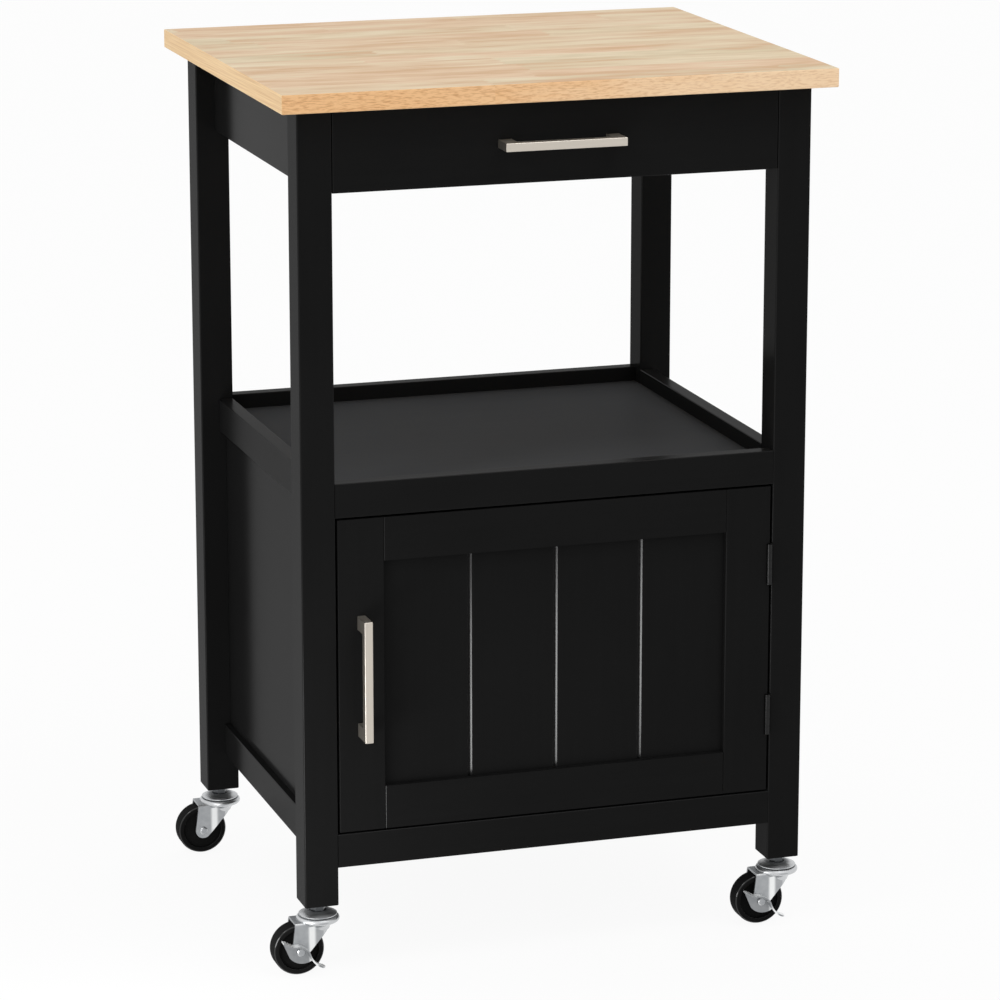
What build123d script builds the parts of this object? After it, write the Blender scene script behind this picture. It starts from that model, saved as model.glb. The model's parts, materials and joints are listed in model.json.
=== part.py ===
from build123d import *

import os

# Kitchen cart: a wood worktop on four square legs, with one drawer, an open tray shelf,
# a cabinet with one door, and four swivel casters that carry the whole.
# Millimetres. +X is the cart's right seen from the front, +Y its back, +Z up.
# The origin is on the floor under the middle of the four legs.

# Overall sizes
overall_height = 850
top_thickness = 18
frame_width = 502
frame_depth = 411
leg_size = 33
top_side_overhang = 19
top_front_overhang = 20.5
top_back_overhang = 18

# Boards of the frame
rail_thickness = 14.5
rail_height = 33
apron_height = 78
back_rail_inset = 3
tray_rim = 481
lower_rim = 139
tenon_length = 12
tenon_thickness = 7
tenon_shoulder = 8

# Thin panels and shelf floors, held in grooves
panel_thickness = 5
panel_recess = 6.5
groove_depth = 6
floor_thickness = 9
floor_depth = 15

# Drawer box and its runners
drawer_front_height = 76
drawer_front_thickness = 15
drawer_board = 12
drawer_side_height = 52
drawer_side_lift = 4
drawer_back_gap = 28.5
drawer_side_gap = 8
drawer_bottom_thickness = 4
drawer_bottom_lift = 6
drawer_groove_depth = 5
runner_height = 12
runner_end_gap = 15
runner_groove_depth = 6
runner_lift = 20

# Door
door_thickness = 18
stile_width = 45
door_rail_height = 42
door_panel_thickness = 6
door_panel_recess = 6
door_groove_depth = 8
plank_count = 4
plank_groove_width = 4.5
plank_groove_depth = 2.2

# Bar handles, alike on the drawer and the door
handle_length = 118
handle_bar = 8
handle_projection = 25
handle_foot = 13
handle_inner_radius = 3
handle_screw_radius = 2
handle_screw_bite = 9
screw_head_radius = 4
screw_head_height = 2.4
door_handle_inset = 22.5

# Butt hinges in the gap on the door's right
hinge_height = 40
hinge_end_distance = 57
hinge_leaf = 0.8
hinge_leaf_width = 14
hinge_barrel_radius = 2.6
hinge_pin_radius = 1.2
hinge_proud = 1
knuckle_count = 5
knuckle_gap = 0.2

# Magnetic catch under the tray, and its plate on the door
catch_width = 46
catch_depth = 14
catch_height = 22
catch_ear = 10
catch_ear_height = 4
catch_slot_width = 4
catch_slot_length = 8
catch_inset = 40
strike_width = 36
strike_height = 14
strike_thickness = 1.5
strike_drop = 3

# Casters
wheel_radius = 25
wheel_width = 18
wheel_shoulder = 3
wheel_rim_radius = 19.5
wheel_rim_edge = 0.6
wheel_web = 10
wheel_hub_radius = 7.5
trail = 21
tyre_clearance = 1
fork_sheet = 2
fork_gap = 22
fork_bend = 0.4
fork_waist_place = 11
fork_waist_radius = 8
fork_nose_radius = 11
fork_end_radius = 8
fork_rear = 25.5
fork_nose_drop = 4
race_radius = 20.8
race_mouth_radius = 18.6
race_hollow_radius = 14.5
race_height = 2.9
race_skirt = 2.6
race_gap = 0.5
flare_foot_radius = 11
flare_waist_radius = 13.6
flare_waist_drop = 5.4
flare_drop = 10
cup_radius = 18.4
cup_rim = 1.6
cup_height = 4.6
cup_crown = 1
nut_across_flats = 13
nut_height = 7.5
stem_radius = 4
stem_length = 34
kingpin_radius = 5
kingpin_head_radius = 8
kingpin_head_height = 2.2
axle_radius = 3
axle_head_radius = 4
axle_head_height = 2.2

# Brake lever on the axle of each front caster, seen from the front with the axle at zero
lever_sheet = 1.5
lever_flange = 9
lever_tip_reach = 18.5
lever_tip_rise = 12.5
lever_crest_reach = 9
lever_crest_rise = 7
lever_crown_rise = 6.2
lever_shoulder_reach = 7
lever_heel_reach = 11.5
lever_heel_drop = 9
lever_pedal_reach = 22.5
lever_pedal_drop = 15.5
lever_pedal_corner = 3.5
lever_keel_drop = 11.5
lever_cheek_reach = 11
lever_cheek_drop = 5
lever_rib_radius = 1.3
lever_rib_pitch = 3
lever_rib_count = 3

# Gaps and fits
reveal = 2
drawer_front_gap = 0.6
wood_fit = 0.15
runner_fit = 0.3
screw_fit = 0.1
running_fit = 0.06
running_gap = 0.3
catch_gap = 0.4

# Eased edges
leg_edge = 1.5
board_edge = 1
top_edge = 1
joint_chamfer = 0.7
handle_edge = 0.7

# Places that follow from the sizes
half_width = frame_width / 2
half_depth = frame_depth / 2
leg_inner_x = half_width - leg_size
leg_inner_y = half_depth - leg_size
leg_centre_x = half_width - leg_size / 2
leg_centre_y = half_depth - leg_size / 2
front_plane = -half_depth
frame_top = overall_height - top_thickness
apron_bottom = frame_top - apron_height
tray_rail_bottom = tray_rim - rail_height
lower_rail_bottom = lower_rim - rail_height
back_rail_inner = half_depth - back_rail_inset - rail_thickness

crown_bottom = 2 * wheel_radius + tyre_clearance
crown_top = crown_bottom + fork_sheet
race_top = crown_top + race_height
cup_bottom = race_top + race_gap
cup_top = cup_bottom + cup_height
leg_foot = cup_top + nut_height
fork_half = fork_gap / 2 + fork_sheet
fork_length = trail + fork_end_radius + 2 * fork_sheet

drawer_front_top = frame_top - reveal
drawer_front_bottom = drawer_front_top - drawer_front_height
drawer_front_rear = front_plane + drawer_front_thickness
drawer_front_side = leg_inner_x - drawer_front_gap
drawer_rear = back_rail_inner - drawer_back_gap
drawer_side_outer = leg_inner_x - drawer_side_gap
drawer_side_inner = drawer_side_outer - drawer_board
drawer_side_bottom = drawer_front_bottom + drawer_side_lift
drawer_side_top = drawer_side_bottom + drawer_side_height
drawer_bottom_z = drawer_side_bottom + drawer_bottom_lift
runner_bottom = drawer_side_bottom + runner_lift
runner_front = -leg_inner_y
runner_rear = leg_inner_y - runner_end_gap
runner_reach = drawer_side_gap + runner_groove_depth - runner_fit

door_side = leg_inner_x - reveal
door_bottom = lower_rim + reveal
door_top = tray_rail_bottom - reveal
door_rear = front_plane + door_thickness
door_middle = (door_bottom + door_top) / 2
panel_half = door_side - stile_width
hinge_x = leg_inner_x - hinge_barrel_radius
hinge_y = front_plane - hinge_proud
hinge_bottoms = (door_bottom + hinge_end_distance, door_top - hinge_end_distance - hinge_height)

corners = {
    "front_left": (-1, -1),
    "front_right": (1, -1),
    "rear_left": (-1, 1),
    "rear_right": (1, 1),
}

os.makedirs("parts", exist_ok=True)


# Shapes used all over

def block(x, y, z):
    """A rectangular piece between a low and a high limit along each axis."""
    limits = (x, y, z)
    middle = [(low + high) / 2 for low, high in limits]
    return Pos(*middle) * Box(*[high - low for low, high in limits])


def rod(radius, low, high):
    """An upright round bar between two heights."""
    return Pos(0, 0, (low + high) / 2) * Cylinder(radius, high - low)


def cross_rod(radius, low, high):
    """A round bar along Y between two places."""
    return Pos(0, (low + high) / 2, 0) * Rot(90, 0, 0) * Cylinder(radius, high - low)


def save(name, *solids):
    """Writes one piece, or a group of like pieces, under its own name."""
    shape = solids[0] if len(solids) == 1 else Compound(children=list(solids))
    shape.label = name
    export_step(shape, os.path.join("parts", name + ".step"))


# Worktop and frame

def worktop():
    """The glued board on top, with its edges lightly eased."""
    side = half_width + top_side_overhang
    depth = (front_plane - top_front_overhang, half_depth + top_back_overhang)
    board = block((-side, side), depth, (frame_top, overall_height))
    return fillet(board.edges(), top_edge)


def rail_place(side, bottom):
    """Where a rail goes that is drawn along X, with its inner face on the XZ plane."""
    places = {
        "front": Pos(0, front_plane + rail_thickness, bottom) * Rot(0, 0, 180),
        "back": Pos(0, back_rail_inner, bottom),
        "left": Pos(-leg_inner_x, 0, bottom) * Rot(0, 0, 90),
        "right": Pos(leg_inner_x, 0, bottom) * Rot(0, 0, -90),
    }
    return places[side]


def rail_span(side):
    """The clear length between the two legs that carry a rail."""
    return 2 * (leg_inner_x if side in ("front", "back") else leg_inner_y)


def tenon_bar(side, bottom, height, grow=0):
    """The bar that runs through a rail and makes its two end tenons; grown, it cuts their mortises."""
    length = rail_span(side) + 2 * (tenon_length + grow)
    bar = Box(length, tenon_thickness + 2 * grow, height - 2 * tenon_shoulder + 2 * grow)
    return rail_place(side, bottom) * Pos(0, rail_thickness / 2, height / 2) * bar


def rail(side, bottom, height):
    """A rail with eased long edges and a stub tenon at each end, before its grooves are cut."""
    span = rail_span(side)
    board = block((-span / 2, span / 2), (0, rail_thickness), (0, height))
    board = fillet(board.edges().filter_by(Axis.X), board_edge)
    return rail_place(side, bottom) * board + tenon_bar(side, bottom, height)


def side_panel(hand, grow=0):
    """A thin cabinet side in the grooves of two legs and two rails; grown, it cuts the grooves."""
    outer = leg_inner_x + rail_thickness - panel_recess + grow
    inner = outer - panel_thickness - 2 * grow
    reach = leg_inner_y + groove_depth - wood_fit + grow
    low = lower_rim - groove_depth + wood_fit - grow
    high = tray_rail_bottom + groove_depth - wood_fit + grow
    return block(sorted((hand * inner, hand * outer)), (-reach, reach), (low, high))


def back_panel(grow=0):
    """The thin cabinet back, held in the same way."""
    outer = back_rail_inner + rail_thickness - panel_recess + grow
    inner = outer - panel_thickness - 2 * grow
    reach = leg_inner_x + groove_depth - wood_fit + grow
    low = lower_rim - groove_depth + wood_fit - grow
    high = tray_rail_bottom + groove_depth - wood_fit + grow
    return block((-reach, reach), (inner, outer), (low, high))


def shelf_floor(rim, grow=0):
    """A shelf floor below the rim of its four rails, notched at the legs."""
    high = rim - floor_depth + grow
    low = high - floor_thickness - 2 * grow
    between_x = leg_inner_x - wood_fit + grow
    between_y = leg_inner_y - wood_fit + grow
    reach_x = leg_inner_x + groove_depth - wood_fit + grow
    reach_front = front_plane + rail_thickness - groove_depth + wood_fit - grow
    reach_back = back_rail_inner + groove_depth - wood_fit + grow
    long_way = block((-between_x, between_x), (reach_front, reach_back), (low, high))
    wide_way = block((-reach_x, reach_x), (-between_y, between_y), (low, high))
    return long_way + wide_way


rails = {
    "apron_left": ("left", apron_bottom, apron_height),
    "apron_right": ("right", apron_bottom, apron_height),
    "apron_back": ("back", apron_bottom, apron_height),
}
for rail_side in ("front", "back", "left", "right"):
    rails["tray_rail_" + rail_side] = (rail_side, tray_rail_bottom, rail_height)
    rails["lower_rail_" + rail_side] = (rail_side, lower_rail_bottom, rail_height)

grooved_panels = [side_panel(-1, wood_fit), side_panel(1, wood_fit), back_panel(wood_fit)]
grooved_floors = [shelf_floor(tray_rim, wood_fit), shelf_floor(lower_rim, wood_fit)]


def leg(hand_x, hand_y):
    """A square leg with its mortises, panel grooves and the hole for a caster's stem."""
    x = sorted((hand_x * leg_inner_x, hand_x * half_width))
    y = sorted((hand_y * leg_inner_y, hand_y * half_depth))
    post = block(x, y, (leg_foot, frame_top))
    post = fillet(post.edges().filter_by(Axis.Z), leg_edge)
    post = fillet(post.faces().sort_by(Axis.Z)[0].edges(), board_edge)
    stem_hole = rod(stem_radius + screw_fit, leg_foot, leg_foot + stem_length + screw_fit)
    post -= Pos(hand_x * leg_centre_x, hand_y * leg_centre_y, 0) * stem_hole
    for side, bottom, height in rails.values():
        post -= tenon_bar(side, bottom, height, wood_fit)
    for panel in grooved_panels:
        post -= panel
    return post


save("worktop", worktop())
for corner, (hand_x, hand_y) in corners.items():
    save("leg_" + corner, leg(hand_x, hand_y))
for name, (side, bottom, height) in rails.items():
    board = rail(side, bottom, height)
    for groove in grooved_panels + grooved_floors:
        board -= groove
    save(name, board)
save("tray_floor", shelf_floor(tray_rim))
save("cabinet_floor", shelf_floor(lower_rim))
save("side_panel_left", side_panel(-1))
save("side_panel_right", side_panel(1))
save("back_panel", back_panel())


# Handles, drawn along X on the XZ plane and standing out to -Y

screw_half = (handle_length - handle_foot) / 2
handle_middle_x = -door_side + door_handle_inset
drawer_handle_place = Pos(0, front_plane, drawer_front_bottom + drawer_front_height / 2)
door_handle_place = Pos(handle_middle_x, front_plane, door_middle) * Rot(0, 90, 0)


def handle_screws(board, grow=0):
    """Two screws from behind a board into the handle's feet; grown, they cut their holes."""
    screws = []
    for x in (-screw_half, screw_half):
        shank = cross_rod(handle_screw_radius + grow, -handle_screw_bite - grow, board)
        head = cross_rod(screw_head_radius, board, board + screw_head_height)
        screws.append(Pos(x, 0, 0) * (shank if grow else shank + head))
    return screws


def handle():
    """A square bar with a foot at each end, and a blind hole in each foot."""
    outline = Pos(0, -handle_projection / 2) * Rectangle(handle_length, handle_projection)
    outline = fillet(outline.vertices().group_by(Axis.Y)[0], handle_edge)
    gap_depth = handle_projection - handle_bar
    gap = Pos(0, -gap_depth / 2) * Rectangle(handle_length - 2 * handle_foot, gap_depth)
    gap = fillet(gap.vertices().group_by(Axis.Y)[0], handle_inner_radius)
    bar = extrude(outline - gap, handle_bar / 2, both=True)
    front = bar.faces().sort_by(Axis.Y)[0]
    bar = fillet(front.edges(), handle_edge)
    for hole in handle_screws(0, screw_fit):
        bar -= hole
    return bar


# Drawer

def drawer_runner(hand, grow=0):
    """The hardwood strip on an apron that carries the drawer; grown, it cuts the drawer's groove."""
    x = sorted((hand * leg_inner_x, hand * (leg_inner_x - runner_reach - grow)))
    y = (runner_front - grow, drawer_rear if grow else runner_rear)
    z = (runner_bottom - grow, runner_bottom + runner_height + grow)
    return block(x, y, z)


def drawer_bottom(grow=0):
    """The thin drawer bottom in the grooves of all four boards."""
    side = drawer_side_inner + drawer_groove_depth - wood_fit + grow
    front = drawer_front_rear - drawer_groove_depth + wood_fit - grow
    rear = drawer_rear - drawer_board + drawer_groove_depth - wood_fit + grow
    low = drawer_bottom_z - grow
    return block((-side, side), (front, rear), (low, drawer_bottom_z + drawer_bottom_thickness + grow))


def drawer_front():
    """The flush drawer front, grooved behind for the bottom and bored for the handle."""
    z = (drawer_front_bottom, drawer_front_top)
    board = block((-drawer_front_side, drawer_front_side), (front_plane, drawer_front_rear), z)
    board = fillet(board.faces().sort_by(Axis.Y)[0].edges(), board_edge)
    for hole in handle_screws(drawer_front_thickness, screw_fit):
        board -= drawer_handle_place * hole
    return board - drawer_bottom(wood_fit)


def drawer_side(hand):
    """A drawer side with a groove outside for its runner, open behind, and one inside for the bottom."""
    x = sorted((hand * drawer_side_inner, hand * drawer_side_outer))
    board = block(x, (drawer_front_rear, drawer_rear), (drawer_side_bottom, drawer_side_top))
    return board - drawer_runner(hand, runner_fit) - drawer_bottom(wood_fit)


def drawer_back():
    """The drawer's back board between its sides."""
    z = (drawer_side_bottom, drawer_side_top)
    y = (drawer_rear - drawer_board, drawer_rear)
    return block((-drawer_side_inner, drawer_side_inner), y, z) - drawer_bottom(wood_fit)


save("drawer_runner_left", drawer_runner(-1))
save("drawer_runner_right", drawer_runner(1))
save("drawer_front", drawer_front())
save("drawer_side_left", drawer_side(-1))
save("drawer_side_right", drawer_side(1))
save("drawer_back", drawer_back())
save("drawer_bottom", drawer_bottom())
save("drawer_handle", drawer_handle_place * handle())
save("drawer_handle_screws", *[drawer_handle_place * s for s in handle_screws(drawer_front_thickness)])


# Hinges

def hinge_side(first, bore, leaf_x):
    """One half of a butt hinge, drawn from its foot: a leaf and every second knuckle from the first."""
    knuckle = hinge_height / knuckle_count
    plate_y = (hinge_y, hinge_y + hinge_leaf_width)
    plate = block(leaf_x, plate_y, (0, hinge_height))
    barrel = Pos(hinge_x, hinge_y, 0) * rod(hinge_barrel_radius + running_gap, 0, hinge_height)
    half = plate - barrel
    for index in range(first, knuckle_count, 2):
        low = index * knuckle + (knuckle_gap / 2 if index else 0)
        high = (index + 1) * knuckle - (knuckle_gap / 2 if index < knuckle_count - 1 else 0)
        tab = block(leaf_x, (hinge_y, hinge_y + hinge_leaf_width), (low, high))
        half += Pos(hinge_x, hinge_y, 0) * rod(hinge_barrel_radius, low, high) + tab
    return half - Pos(hinge_x, hinge_y, 0) * rod(bore, 0, hinge_height)


def hinge_pin():
    """The pin through all the knuckles of one hinge."""
    return Pos(hinge_x, hinge_y, 0) * rod(hinge_pin_radius, 0, hinge_height)


frame_leaf_x = (leg_inner_x - hinge_leaf, leg_inner_x)
door_leaf_x = (door_side, door_side + hinge_leaf)
frame_leaf = hinge_side(0, hinge_pin_radius + running_fit / 2, frame_leaf_x)
door_leaf = hinge_side(1, hinge_pin_radius + running_fit, door_leaf_x)
save("hinge_frame_leaves", *[Pos(0, 0, z) * frame_leaf for z in hinge_bottoms])
save("hinge_door_leaves", *[Pos(0, 0, z) * door_leaf for z in hinge_bottoms])
save("hinge_pins", *[Pos(0, 0, z) * hinge_pin() for z in hinge_bottoms])


# Door

def door_panel(grow=0):
    """The recessed door panel in the grooves of its frame, before its plank lines are cut."""
    side = panel_half + door_groove_depth - wood_fit + grow
    low = door_bottom + door_rail_height - door_groove_depth + wood_fit - grow
    high = door_top - door_rail_height + door_groove_depth - wood_fit + grow
    front = front_plane + door_panel_recess - grow
    return block((-side, side), (front, front + door_panel_thickness + 2 * grow), (low, high))


def planked_panel():
    """The panel with upright V lines that make it look like planks."""
    panel = door_panel()
    face = front_plane + door_panel_recess
    half = plank_groove_width / 2
    notch = make_face(Polyline((-half, 0), (half, 0), (0, plank_groove_depth), close=True))
    cutter = extrude(notch, door_top - door_bottom)
    plank = 2 * panel_half / plank_count
    for index in range(1, plank_count):
        panel -= Pos(index * plank - panel_half, face, door_bottom) * cutter
    return panel


def door_groove(grow=0):
    """The bar of the groove down a stile, which a rail's tongue fits."""
    front = front_plane + door_panel_recess - grow
    side = panel_half + door_groove_depth - wood_fit + grow
    y = (front, front + door_panel_thickness + 2 * grow)
    return block((-side, side), y, (door_bottom, door_top))


def stile(hand):
    """A full-height door stile, with its inner front edge chamfered."""
    x = sorted((hand * panel_half, hand * door_side))
    board = block(x, (front_plane, door_rear), (door_bottom, door_top))
    upright = board.edges().filter_by(Axis.Z).group_by(Axis.Y)[0]
    inner = upright.sort_by(Axis.X)[-1 if hand < 0 else 0]
    outer = upright.sort_by(Axis.X)[0 if hand < 0 else -1]
    board = chamfer(inner, joint_chamfer)
    board = fillet(board.edges().filter_by(Axis.Z).filter_by_position(
        Axis.X, outer.center().X - joint_chamfer / 2, outer.center().X + joint_chamfer / 2
    ).group_by(Axis.Y)[0], board_edge)
    return board - door_groove(wood_fit)


def right_stile():
    """The hinge stile, notched for the knuckles."""
    board = stile(1)
    clear = hinge_barrel_radius + running_gap
    for low in hinge_bottoms:
        pocket = rod(clear, low - running_gap, low + hinge_height + running_gap)
        board -= Pos(hinge_x, hinge_y, 0) * pocket
    return board


def left_stile():
    """The handle stile, bored for the handle's screws."""
    board = stile(-1)
    for hole in handle_screws(door_thickness, screw_fit):
        board -= door_handle_place * hole
    return board


def door_rail(bottom):
    """A door rail between the stiles, with a tongue at each end and a groove for the panel."""
    z = (bottom, bottom + door_rail_height)
    board = block((-panel_half, panel_half), (front_plane, door_rear), z)
    ends = board.faces().sort_by(Axis.Y)[0].edges().filter_by(Axis.Z)
    board = chamfer(ends, joint_chamfer)
    tongue = door_groove() & block((-door_side, door_side), (front_plane, door_rear), z)
    return board + tongue - door_panel(wood_fit)


save("door_stile_left", left_stile())
save("door_stile_right", right_stile())
save("door_rail_top", door_rail(door_top - door_rail_height))
save("door_rail_bottom", door_rail(door_bottom))
save("door_panel", planked_panel())
save("door_handle", door_handle_place * handle())
save("door_handle_screws", *[door_handle_place * s for s in handle_screws(door_thickness)])


# Magnetic catch

def catch():
    """The catch under the tray floor: a magnet housing between two slotted ears for its screws."""
    top = tray_rim - floor_depth - floor_thickness
    front = door_rear + strike_thickness + catch_gap
    left = -door_side + catch_inset
    right = left + catch_width
    y = (front, front + catch_depth)
    housing = block((left + catch_ear, right - catch_ear), y, (top - catch_height, top))
    housing = fillet(housing.edges().filter_by(Axis.Y).group_by(Axis.Z)[0], board_edge)
    ears = block((left, right), y, (top - catch_ear_height, top))
    ears = fillet(ears.edges().filter_by(Axis.Z), board_edge)
    body = housing + ears
    slot = extrude(SlotOverall(catch_slot_length, catch_slot_width, rotation=90), -catch_ear_height)
    for x in (left + catch_ear / 2, right - catch_ear / 2):
        body -= Pos(x, front + catch_depth / 2, top) * slot
    return body


def strike():
    """The steel plate on the door's back that the magnet holds."""
    middle = -door_side + catch_inset + catch_width / 2
    high = door_top - strike_drop
    x = (middle - strike_width / 2, middle + strike_width / 2)
    return block(x, (door_rear, door_rear + strike_thickness), (high - strike_height, high))


save("magnetic_catch", catch())
save("strike_plate", strike())


# Casters, each drawn with its stem on the Z axis and its wheel trailing to -X

def caster_stem():
    """The part that stays with the leg: stem, nut, bearing cup and the headed kingpin."""
    hexagon = RegularPolygon(nut_across_flats / 2, 6, major_radius=False)
    nut = Pos(0, 0, cup_top) * extrude(hexagon, nut_height)
    neck = nut_across_flats / 2 + cup_rim
    dome = ThreePointArc(
        (cup_radius, cup_bottom + cup_rim),
        ((cup_radius + neck) / 2, cup_top - cup_crown),
        (neck, cup_top),
    )
    base = Polyline(
        (neck, cup_top),
        (0, cup_top),
        (0, cup_bottom),
        (cup_radius - cup_rim / 2, cup_bottom),
        (cup_radius, cup_bottom + cup_rim / 2),
        (cup_radius, cup_bottom + cup_rim),
    )
    cup = revolve(Plane.XZ * make_face([dome, base]), Axis.Z)
    head_top = crown_bottom - running_gap
    kingpin = rod(kingpin_radius, head_top - kingpin_head_height, cup_bottom)
    head = rod(kingpin_head_radius, head_top - kingpin_head_height, head_top)
    head = chamfer(head.edges().sort_by(Axis.Z)[0], kingpin_head_height / 2)
    return rod(stem_radius, leg_foot, leg_foot + stem_length) + nut + cup + kingpin + head


def fork_plan():
    """The fork seen from above: two straight cheeks that bend in a little and close round the nose."""
    cheeks = Polyline(
        (-fork_waist_place, -fork_half),
        (-fork_length, -fork_half),
        (-fork_length, fork_half),
        (-fork_waist_place, fork_half),
    )
    nose = Circle(fork_nose_radius)
    plan = make_hull(cheeks.edges() + nose.edges())
    waist = plan.vertices().filter_by_position(Axis.X, -fork_waist_place - fork_sheet, 0)
    return fillet(waist, fork_waist_radius)


def fork_side():
    """The fork seen from the side: broad at the crown and narrowing to a round end at the axle."""
    axle = Pos(-trail, wheel_radius) * Circle(fork_end_radius)
    crown = Polyline(
        (-fork_rear, crown_top),
        (fork_nose_radius, crown_top),
        (fork_nose_radius, crown_bottom - fork_nose_drop),
    )
    return make_hull(axle.edges() + crown.edges())


def fork_race():
    """The rolled ring that holds the balls, with the hollow flare that runs down into the cheeks."""
    skirt = crown_top - race_skirt
    foot = crown_top - flare_drop
    rim = ThreePointArc(
        (race_mouth_radius, skirt),
        (race_radius, (skirt + race_top) / 2),
        (race_mouth_radius, race_top),
    )
    rest = Polyline(
        (race_mouth_radius, race_top),
        (race_hollow_radius, race_top),
        (race_hollow_radius, crown_top),
        (kingpin_radius, crown_top),
        (kingpin_radius, foot),
        (flare_foot_radius, foot),
    )
    flare = ThreePointArc(
        (flare_foot_radius, foot),
        (flare_waist_radius, crown_top - flare_waist_drop),
        (race_mouth_radius, skirt),
    )
    return revolve(Plane.XZ * make_face([rim, rest, flare]), Axis.Z)


def fork():
    """The fork pressed from one sheet, with the ring of its ball race."""
    low = wheel_radius - fork_end_radius
    plan = fork_plan()
    outside = Pos(0, 0, low) * extrude(plan, crown_top - low)
    outside = fillet(outside.faces().sort_by(Axis.Z)[-1].edges(), fork_bend + fork_sheet)
    room = offset(plan, -fork_sheet) + Pos(-fork_length, 0) * Rectangle(4 * fork_sheet, fork_gap)
    inside = Pos(0, 0, low) * extrude(room, crown_bottom - low)
    inside = fillet(inside.faces().sort_by(Axis.Z)[-1].edges(), fork_bend)
    sides = extrude(Plane.XZ * fork_side(), fork_half, both=True)
    body = (outside & sides) + fork_race() - inside
    body -= rod(kingpin_radius + running_fit, crown_bottom, race_top)
    axle_hole = cross_rod(axle_radius + running_fit / 2, -fork_half, fork_half)
    return body - Pos(-trail, 0, wheel_radius) * axle_hole


def axle(lever_room):
    """The axle with a domed head at each end, longer in front where it carries a brake lever."""
    near = -fork_half - lever_room
    shaft = cross_rod(axle_radius, near, fork_half)
    near_head = cross_rod(axle_head_radius, near - axle_head_height, near)
    near_head = chamfer(near_head.edges().sort_by(Axis.Y)[0], axle_head_height / 2)
    far_head = cross_rod(axle_head_radius, fork_half, fork_half + axle_head_height)
    far_head = chamfer(far_head.edges().sort_by(Axis.Y)[-1], axle_head_height / 2)
    return Pos(-trail, 0, wheel_radius) * (shaft + near_head + far_head)


def wheel():
    """The wheel: rounded tread, sunk web and a hub as wide as the fork allows."""
    hub_width = fork_gap - 2 * running_gap
    rim_depth = wheel_radius - wheel_rim_radius
    rim = Pos(wheel_rim_radius + rim_depth / 2, 0) * Rectangle(rim_depth, wheel_width)
    rim = fillet(rim.vertices().group_by(Axis.X)[-1], wheel_shoulder)
    rim = fillet(rim.vertices().group_by(Axis.X)[0], wheel_rim_edge)
    web = Pos(wheel_rim_radius / 2, 0) * Rectangle(wheel_rim_radius, wheel_web)
    hub = Pos(wheel_hub_radius / 2, 0) * Rectangle(wheel_hub_radius, hub_width)
    body = revolve(rim + web + hub, Axis.Y)
    body -= cross_rod(axle_radius + running_fit, -hub_width / 2, hub_width / 2)
    return Pos(-trail, 0, wheel_radius) * body


def brake_lever():
    """The stamped rocker on the axle: a plate and a wavy flange with a ribbed tip and a flat pedal."""
    tip = (-lever_tip_reach, lever_tip_rise)
    crest = (-lever_crest_reach, lever_crest_rise)
    shoulder = (lever_shoulder_reach, 0)
    heel = (lever_heel_reach, -lever_heel_drop)
    pedal = (lever_pedal_reach, -lever_pedal_drop)
    cheek = (-lever_cheek_reach, -lever_cheek_drop)
    tread = Line(tip, crest)
    crown = ThreePointArc(crest, (0, lever_crown_rise), shoulder)
    fall = ThreePointArc(shoulder, heel, pedal)
    keel = ThreePointArc(heel, (0, -lever_keel_drop), cheek)
    plate = make_face([tread, crown, ThreePointArc(shoulder, fall @ 0.25, heel), keel, Line(cheek, tip)])
    flange = Plane.XZ * extrude(trace([tread, crown, fall], lever_sheet), lever_flange)
    pedal_end = flange.faces().sort_by(Axis.X)[-1]
    flange = fillet(pedal_end.edges().sort_by(SortBy.LENGTH)[:2], lever_pedal_corner)
    for bend in (crest, shoulder):
        flange += Pos(bend[0], 0, bend[1]) * cross_rod(lever_sheet / 2, -lever_flange, 0)
    for index in range(lever_rib_count):
        rib = tread @ ((index + 1) * lever_rib_pitch / tread.length)
        flange += Pos(rib.X, 0, rib.Y) * cross_rod(lever_rib_radius, -lever_flange, 0)
    near = -fork_half - running_gap
    lever = Pos(0, near, 0) * (Plane.XZ * extrude(plate, lever_sheet) + flange)
    lever -= cross_rod(axle_radius + running_fit, near - lever_sheet, near)
    return Pos(-trail, 0, wheel_radius) * lever


lever_room = lever_sheet + 2 * running_gap
for corner, (hand_x, hand_y) in corners.items():
    place = Pos(hand_x * leg_centre_x, hand_y * leg_centre_y, 0)
    braked = hand_y < 0
    save("caster_stem_" + corner, place * caster_stem())
    save("caster_fork_" + corner, place * fork())
    save("caster_axle_" + corner, place * axle(lever_room if braked else 0))
    save("caster_wheel_" + corner, place * wheel())
    if braked:
        save("brake_lever_" + corner, place * brake_lever())
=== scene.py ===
# %% [markdown]
# # A rolling kitchen cart, dressed for its picture
#
# The cart's boards, handles, hinges and casters come as a fixed frame of solids, in metres. This lesson
# gives them their finishes and adds what the solids leave out: smooth skins on the pressed steel and the
# moulded wheels, and screws with driver recesses. Each step says what the real thing is, then makes it.

# %% The frame
import json
import math

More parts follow.
